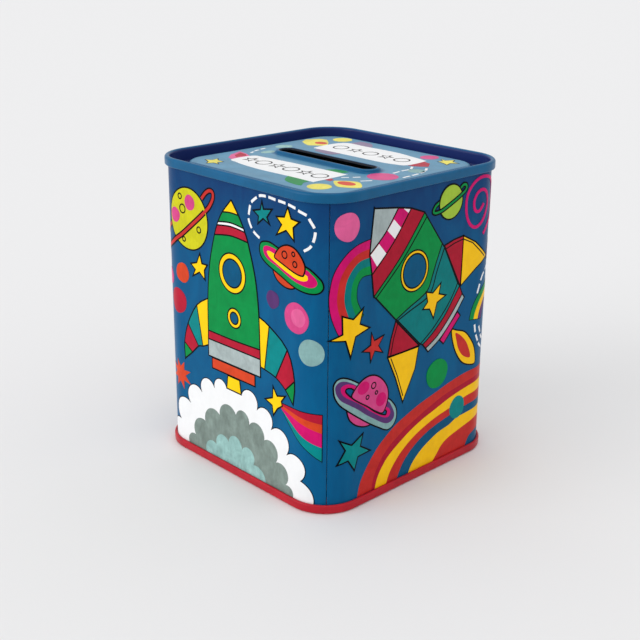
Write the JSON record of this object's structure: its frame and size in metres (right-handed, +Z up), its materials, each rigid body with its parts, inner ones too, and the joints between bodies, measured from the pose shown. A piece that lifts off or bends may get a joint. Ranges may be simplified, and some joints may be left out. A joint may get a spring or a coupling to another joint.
{
  "type": "tin money box",
  "caption": "Square printed tin money box with a coin slot in its recessed top and a push-in plastic stopper in its recessed base.",
  "frame": {"origin": "middle of the footprint, on the surface that the tin stands on", "axes": "+Z up, along the tin's height; front face looks along -Y; the coin slot runs along X"},
  "size_m": [0.077, 0.077, 0.093],
  "materials": {
    "printed_tinplate": "gloss varnish over printed tinplate",
    "blue_lacquer": "gloss lacquer over tinplate",
    "red_lacquer": "gloss lacquer over tinplate",
    "stopper_plastic": "satin soft plastic"
  },
  "bodies": {
    "tin": {"body_wall": "printed_tinplate", "top_end": "blue_lacquer", "base_end": "red_lacquer"},
    "stopper": {"stopper": "stopper_plastic"}
  },
  "joints": [
    {"name": "stopper_pull", "type": "slide", "parent": "tin", "child": "stopper", "axis": [0, 0, -1], "range_m": [0, 0.03]}
  ]
}
